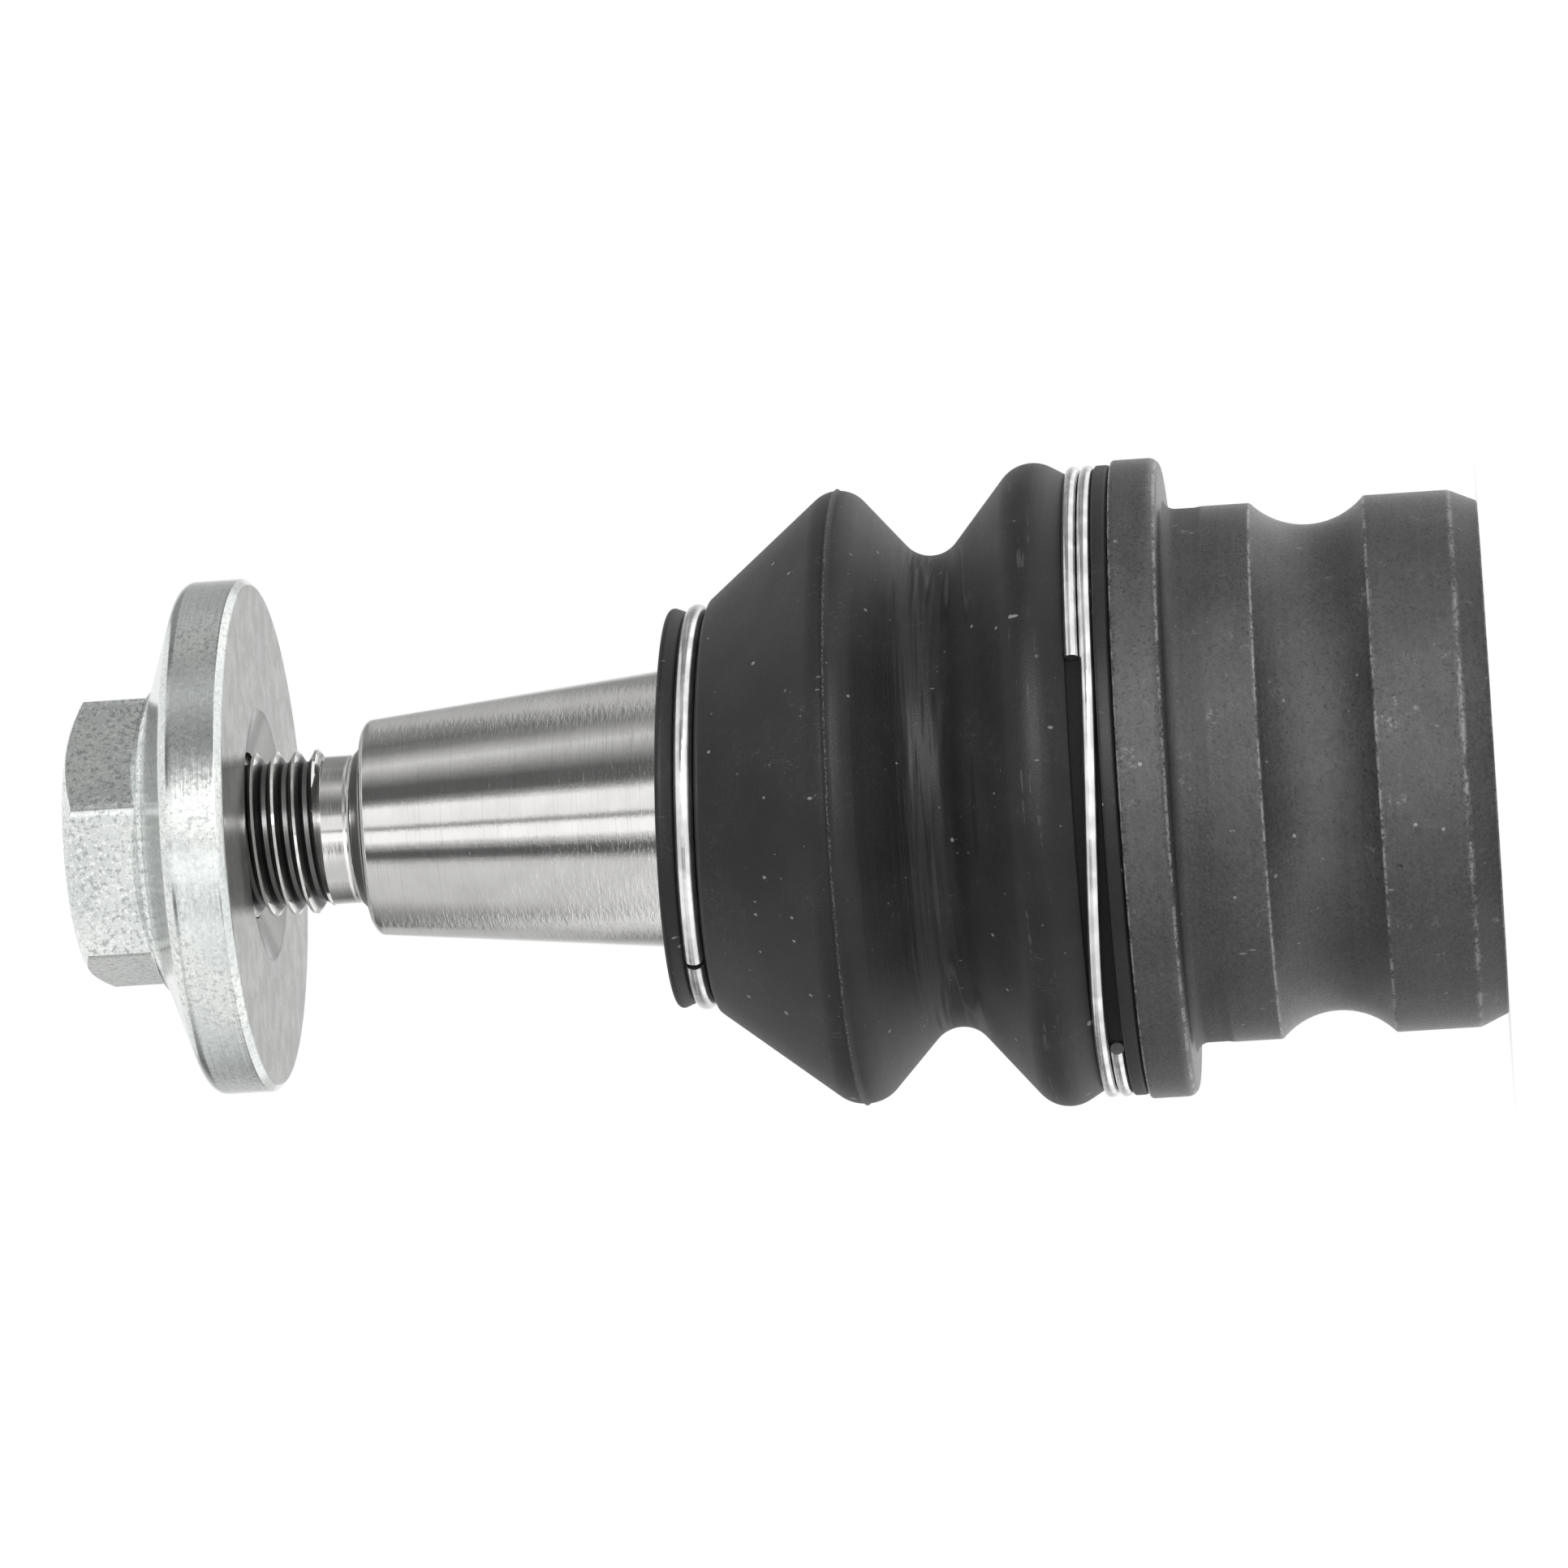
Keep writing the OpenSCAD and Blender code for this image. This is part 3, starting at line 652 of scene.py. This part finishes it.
ball_turn = degrees(acos(neck_r / ball_r))
flat_turn = degrees(asin(ball_low / ball_r))
stud_outline = rounded(
    [(0, ball_low, 0)] + arc(0, 0, ball_r, flat_turn, ball_turn, 40)
    + [(neck_r, neck_top, 1.5 * mm), (seal_r, shoulder_top, 1.2 * mm)]
    + [(seal_r, taper_base - cone_guard, 0), (seal_r, taper_base, 0)]
    + [(seal_r - taper_rate / 2 * cone_guard, taper_base + cone_guard, 0)]
    + [(taper_small_r, taper_top, 0.6 * mm)]
    + [(relief_r + relief_fillet_w, taper_top + 0.1 * mm, 0.3 * mm)]
    + [(relief_r, taper_top + relief_fillet_h, 0.6 * mm)]
    + [(relief_r, thread_base, 0), (0, thread_base, 0)]
)
stud_bm = turned(stud_outline, 160)

turns = round((stud_top - thread_base) / pitch) + 3
around = 72
turns_below = 1.93
first_turn_z = thread_base - turns_below * pitch
crest_end = flank_w + crest_w
profile = [(root_r, 0), (thread_r, flank_w), (thread_r, crest_end)]
profile += [(root_r, crest_end + flank_w), (root_r, pitch)]
thread_bm = bmesh.new()
chain = [thread_bm.verts.new((r, 0, first_turn_z + z)) for r, z in profile]
links = [thread_bm.edges.new(pair) for pair in zip(chain, chain[1:])]
bmesh.ops.spin(thread_bm, geom=chain + links, cent=(0, 0, 0), axis=(0, 0, 1),
               dvec=(0, 0, pitch / around), angle=2 * pi * turns, steps=around * turns,
               use_merge=False, use_normal_flip=False, use_duplicate=False)
bmesh.ops.remove_doubles(thread_bm, verts=thread_bm.verts, dist=2e-6)
thread_sunk = 0.05 * mm
for cut_z, side in ((thread_base - thread_sunk, -1), (stud_top, 1)):
    everything = thread_bm.verts[:] + thread_bm.edges[:] + thread_bm.faces[:]
    bmesh.ops.bisect_plane(thread_bm, geom=everything, dist=1e-7, plane_co=(0, 0, cut_z),
                           plane_no=(0, 0, side), clear_outer=True, clear_inner=False)
    rim = [edge for edge in thread_bm.edges
           if edge.is_boundary and abs(edge.verts[0].co.z - cut_z) < 1e-6]
    bmesh.ops.edgeloop_fill(thread_bm, edges=rim)
run_out = 1.1
for vert in thread_bm.verts:
    r = hypot(vert.co.x, vert.co.y)
    low_limit = relief_r + (vert.co.z - thread_base) * run_out
    high_limit = thread_r - thread_chamfer + (stud_top - vert.co.z)
    limit = max(root_r, min(low_limit, high_limit))
    if r > limit:
        vert.co.x *= limit / r
        vert.co.y *= limit / r
bmesh.ops.recalc_face_normals(thread_bm, faces=thread_bm.faces)
thread_mesh = bpy.data.meshes.new("thread")
thread_bm.to_mesh(thread_mesh)
thread_bm.free()
stud_bm.from_mesh(thread_mesh)
stud = piece("tapered_stud", stud_bm, ground_steel, "stud", 24)
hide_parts("ball_stud")


# Forged hexagon nut in one piece with its wide flange, turned on the flange and zinc plated. The
# outline is spun, then its upper rings are drawn in from round to a hexagon.
(_, _, nut_z), (nut_flange_r, _, nut_top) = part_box("flange_nut")
nut_af = 19 * mm
nut_rim = 4.4 * mm
cone_h = 2.8 * mm
corner_r = nut_af / 2 / cos(pi / 6)
hex_edge = 0.3 * mm
corner_round = 0.12 * mm
cone_dip = 0.45
nut_bore_r = 6.05 * mm
nut_turn = -16.7

zinc = Finish("zinc_plate")
spangle = zinc.noise(zinc.stretched(3.4, 3.4), 3.0, 0.65)
crystals = zinc.noise(zinc.stretched(2.6, 2.6), 3.0, 0.7)
cast = zinc.noise(zinc.stretched(0.14, 0.14), 3.0)
turned_lines = zinc.rings(5, 0.08)
nut_height = zinc.position("Z") - nut_z / mm
nut_radius = zinc.radius()
hexagon = nut_height.between(nut_rim / mm + 0.6, nut_rim / mm + 1.6)
# Painted reflection and smudges: the bearing face is painted darker for the dark parts that it
# mirrors, and streaky where it is smudged
bearing_reflection = 1 - nut_height.between(0.02, 0.1)
streaks = zinc.noise(zinc.stretched(0.5, 3, (0.2, 1.35, 0.3)), 4.0, 0.65)
# Painted shade: within a ragged radius of about 9 mm and the recess's depth, the plate is painted
# dark grey, as the shade inside the recess round the bore
recess_shade = 1 - (nut_radius + (cast - 0.5) * 0.6).between(9.0, 9.3)
grainy = 0.35 + hexagon * 0.65 + (1 - hexagon) * cast.between(0.4, 0.6) * 0.4
plate = zinc.mix(cast.between(0.35, 0.65), grey(0.7, 0.95, 0.99), grey(0.8, 0.97, 0.965))
plate = zinc.mix(spangle.between(0.5, 0.64) * grainy * 0.8, plate, grey(1.0))
plate = zinc.mix(crystals.between(0.5, 0.36) * grainy * 0.75, plate, grey(0.36, 0.95, 1.0))
# Painted reflection on the bearing face, with streaky smudges
plate = zinc.mix(bearing_reflection * (0.5 + streaks.between(0.35, 0.65) * 0.4), plate, grey(0.32, 1.0, 0.95))
# Painted shade in the recess round the bore
plate = zinc.mix(recess_shade * (1 - nut_height.between(1.2, 1.6)) * 0.8, plate, grey(0.13, 1.0, 0.94))
zinc.set(
    Base_Color=plate,
    Metallic=1.0,
    Roughness=0.14 + spangle * 0.08 + hexagon * 0.03,
)
zinc.bump(turned_lines * (1 - hexagon) * 0.6 + (crystals + spangle * 0.5) * grainy * 0.3, 0.014 * mm)

sink = 0.8 * mm
recess_r = 9.1 * mm
recess_depth = 1 * mm
nut_edge = 0.5 * mm
hex_low = nut_z + nut_rim + cone_h
nut_outline = rounded(
    [(recess_r, nut_z, 0.2 * mm), (nut_flange_r - nut_edge, nut_z, 0.1 * mm)]
    + [(nut_flange_r, nut_z + nut_edge, 0.1 * mm)]
    + [(nut_flange_r, nut_z + nut_rim, 0.9 * mm), (corner_r, hex_low, 0.6 * mm)]
    + [(corner_r, nut_top - hex_edge, 0), (nut_af / 2 - hex_edge, nut_top, 0)]
    + [(nut_bore_r + sink, nut_top, 0.1 * mm), (nut_bore_r, nut_top - sink, 0)]
    + [(nut_bore_r, nut_z + recess_depth, 0)]
)
nut_bm = turned(nut_outline, 192)
for vert in nut_bm.verts:
    r = hypot(vert.co.x, vert.co.y)
    if abs(r - corner_r) < 1e-6 and vert.co.z > hex_low - 1e-6:
        around_flat = (atan2(vert.co.y, vert.co.x) + pi / 6) % (pi / 3) - pi / 6
        new_r = min(nut_af / 2 / cos(around_flat), corner_r - corner_round)
        vert.co.x *= new_r / r
        vert.co.y *= new_r / r
        if vert.co.z < nut_top - 1 * mm:
            vert.co.z += (corner_r - new_r) * cone_dip
        else:
            vert.co.z = nut_top - (new_r - nut_af / 2 + hex_edge) * tan(pi / 6)
hex_turn = Matrix.Rotation(radians(nut_turn + 30), 3, "Z")
bmesh.ops.rotate(nut_bm, cent=(0, 0, 0), matrix=hex_turn, verts=nut_bm.verts)
bmesh.ops.recalc_face_normals(nut_bm, faces=nut_bm.faces)
nut = piece("flanged_nut", nut_bm, zinc, "nut", 20)
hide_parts("flange_nut")


# The inner pieces stay the CAD solids: two moulded plastic seats, a tempered disc spring, and the
# pressed cover in the housing's open end.
plastic = Finish("seat_plastic")
flow = plastic.noise(plastic.stretched(0.3, 0.3), 3.0)
plastic.set(
    Base_Color=plastic.mix(flow, (0.74, 0.71, 0.62, 1), (0.82, 0.8, 0.72, 1)),
    Roughness=0.35 + flow * 0.2,
    Subsurface_Weight=0.05,
)
tempered = Finish("spring_steel")
scale_marks = tempered.rings(4, 0.1)
tempered.set(
    Base_Color=tempered.mix(scale_marks, grey(0.1), grey(0.2)),
    Metallic=0.9,
    Roughness=0.35 + scale_marks * 0.2,
)
for name, finish in (("upper_seat", plastic), ("lower_seat", plastic),
                     ("preload_spring", tempered), ("end_cover", black_steel)):
    mesh = frame["nodes"][name].data
    mesh.materials.clear()
    mesh.materials.append(finish.material)


# The studio: a pale floor just under the end face, a room that is even grey as a light and white
# where it is seen, soft lamps, and a screen that stands in reflections only.
floor_size = 6.0
floor_z = end_z - 0.01 * mm
floor_mesh = bpy.data.meshes.new("floor")
floor_bm = bmesh.new()
bmesh.ops.create_grid(floor_bm, x_segments=1, y_segments=1, size=floor_size / 2,
                      matrix=Matrix.Translation((0, 0, floor_z)))
floor_bm.to_mesh(floor_mesh)
floor_bm.free()
floor = bpy.data.objects.new("floor", floor_mesh)
bpy.context.collection.objects.link(floor)


def seen(graph):
    """1 on camera, glossy and transmission rays, and 0 on the light's own paths."""
    camera_ray, glossy_ray, transmission_ray = (
        graph.node("LightPath", out="Is " + kind + " Ray")
        for kind in ("Camera", "Glossy", "Transmission"))
    return camera_ray.maths("MAXIMUM", glossy_ray).maths("MAXIMUM", transmission_ray)


def emptied(owner, spare):
    """Graph of a material or a world without the shader that it starts with."""
    graph = Graph(owner)
    graph.tree.nodes.remove(graph.tree.nodes[spare])
    return graph


room_level = 0.62
floor_colour = 0.85
floor_material = bpy.data.materials.new("floor")
ground = emptied(floor_material, "Principled BSDF")
matt = ground.node("BsdfDiffuse", None, {"Color": grey(floor_colour)})
lift = seen(ground) * (1 - floor_colour * room_level)
glow = ground.node("Emission", None, {"Strength": lift})
both = ground.node("AddShader", None, {0: matt, 1: glow})
ground.fill(ground.tree.nodes["Material Output"], {"Surface": both})
floor_mesh.materials.append(floor_material)

world = bpy.data.worlds.new("studio")
bpy.context.scene.world = world
studio = emptied(world, "Background")
room = studio.node("Background", None, {"Color": grey(1), "Strength": room_level})
white = studio.node("Background", None, {"Color": grey(1)})
either = studio.node("MixShader", None, {0: seen(studio), 1: room, 2: white})
studio.fill(studio.tree.nodes["World Output"], {"Surface": either})


def lamp(name, place, size, watts, gloss=False, target=(0, 0, 0.03)):
    """Area lamp that faces the joint, and lights either what is matt or what is glossy."""
    light = bpy.data.lights.new(name, "AREA")
    light.shape = "RECTANGLE"
    light.size, light.size_y = size
    light.energy = watts
    holder = bpy.data.objects.new(name, light)
    bpy.context.collection.objects.link(holder)
    holder.location = place
    holder.rotation_euler = (Vector(target) - Vector(place)).to_track_quat("-Z", "Y").to_euler()
    holder.visible_glossy = gloss
    holder.visible_diffuse = not gloss


lamp("front_lamp", (0.25, -0.75, 0.05), (0.4, 0.4), 1.7)
lamp("upper_lamp", (0.7, -0.3, 0.1), (0.5, 0.5), 1.9)
lamp("lower_lamp", (-0.6, -0.45, 0.1), (0.5, 0.5), 0.9)
lamp("overhead_lamp", (0.1, 0.1, 0.9), (0.6, 0.6), 1.8)
lamp("gloss_lamp", (0.27, -0.72, -0.03), (0.18, 0.1), 10.0, True, (0, 0, -0.005))

# Screen of pale cards and dark flags round the joint, seen in reflections only. Each row stands
# at so many degrees round the stud from the camera's side, positive towards the picture's upper
# edge, with the level of the whole height and of the strip that the nut's sides mirror.
screen_reach = 0.85
screen_low, screen_high = -0.3, 0.6
strip_low, strip_high, strip_fade = 0.204, 0.25, 0.008
screen_rows = (
    (-165, 0.85, 0.65), (-130, 0.15, 0.62), (-100, 0.42, 1.2), (-85, 0.68, 1.2), (-48, 0.8, 1.4),
    (-41, 0.74, 1.9), (-33, 0.12, 2.35), (-27, 0.12, 2.4), (-20, 0.7, 1.9), (-16, 1.3, 1.6),
    (-6, 1.3, 1.5), (-2, 0.2, 1.4), (2, 1.1, 1.1), (19, 1.2, 0.6), (25, 0.35, 0.5), (30, 0.13, 0.78),
    (42, 0.13, 0.48), (50, 0.3, 0.4), (60, 0.6, 0.34), (67, 0.8, 0.34), (84, 0.28, 0.52),
    (95, 0.19, 0.72), (110, 0.3, 0.7), (150, 0.35, 0.5), (165, 0.85, 0.6),
)
screen_bm = bmesh.new()
level_layer = screen_bm.verts.layers.float.new("level")
plain = (screen_low, strip_low - strip_fade, strip_high + strip_fade, screen_high)
strip = (strip_low, strip_high)
rows = []
for angle, level, strip_level in screen_rows:
    x, y = screen_reach * sin(radians(angle)), -screen_reach * cos(radians(angle))
    row = []
    for z in sorted(plain + strip):
        vert = screen_bm.verts.new((x, y, z))
        vert[level_layer] = strip_level if z in strip else level
        row.append(vert)
    rows.append(row)
for left, right in zip(rows, rows[1:]):
    for i in range(len(left) - 1):
        screen_bm.faces.new((left[i], right[i], right[i + 1], left[i + 1]))

# Grey card on the floor behind the joint, which the nut's bearing face mirrors
card_level = 0.7
card_z = end_z + 1 * mm
card_corners = ((-0.5, 0.25), (0.5, 0.25), (0.5, 0.82), (-0.5, 0.82))
card = [screen_bm.verts.new((x, y, card_z)) for x, y in card_corners]
for vert in card:
    vert[level_layer] = card_level
screen_bm.faces.new(card)
screen_mesh = bpy.data.meshes.new("screen")
screen_bm.to_mesh(screen_mesh)
screen_bm.free()
screen = bpy.data.objects.new("screen", screen_mesh)
bpy.context.collection.objects.link(screen)
for ray in ("camera", "diffuse", "transmission", "volume_scatter", "shadow"):
    setattr(screen, "visible_" + ray, False)
screen_material = bpy.data.materials.new("screen")
cards = emptied(screen_material, "Principled BSDF")
levels = cards.node("Attribute", {"attribute_name": "level"}, None, out="Fac")
shown = cards.node("Emission", None, {"Strength": levels})
cards.fill(cards.tree.nodes["Material Output"], {"Surface": shown})
screen_mesh.materials.append(screen_material)
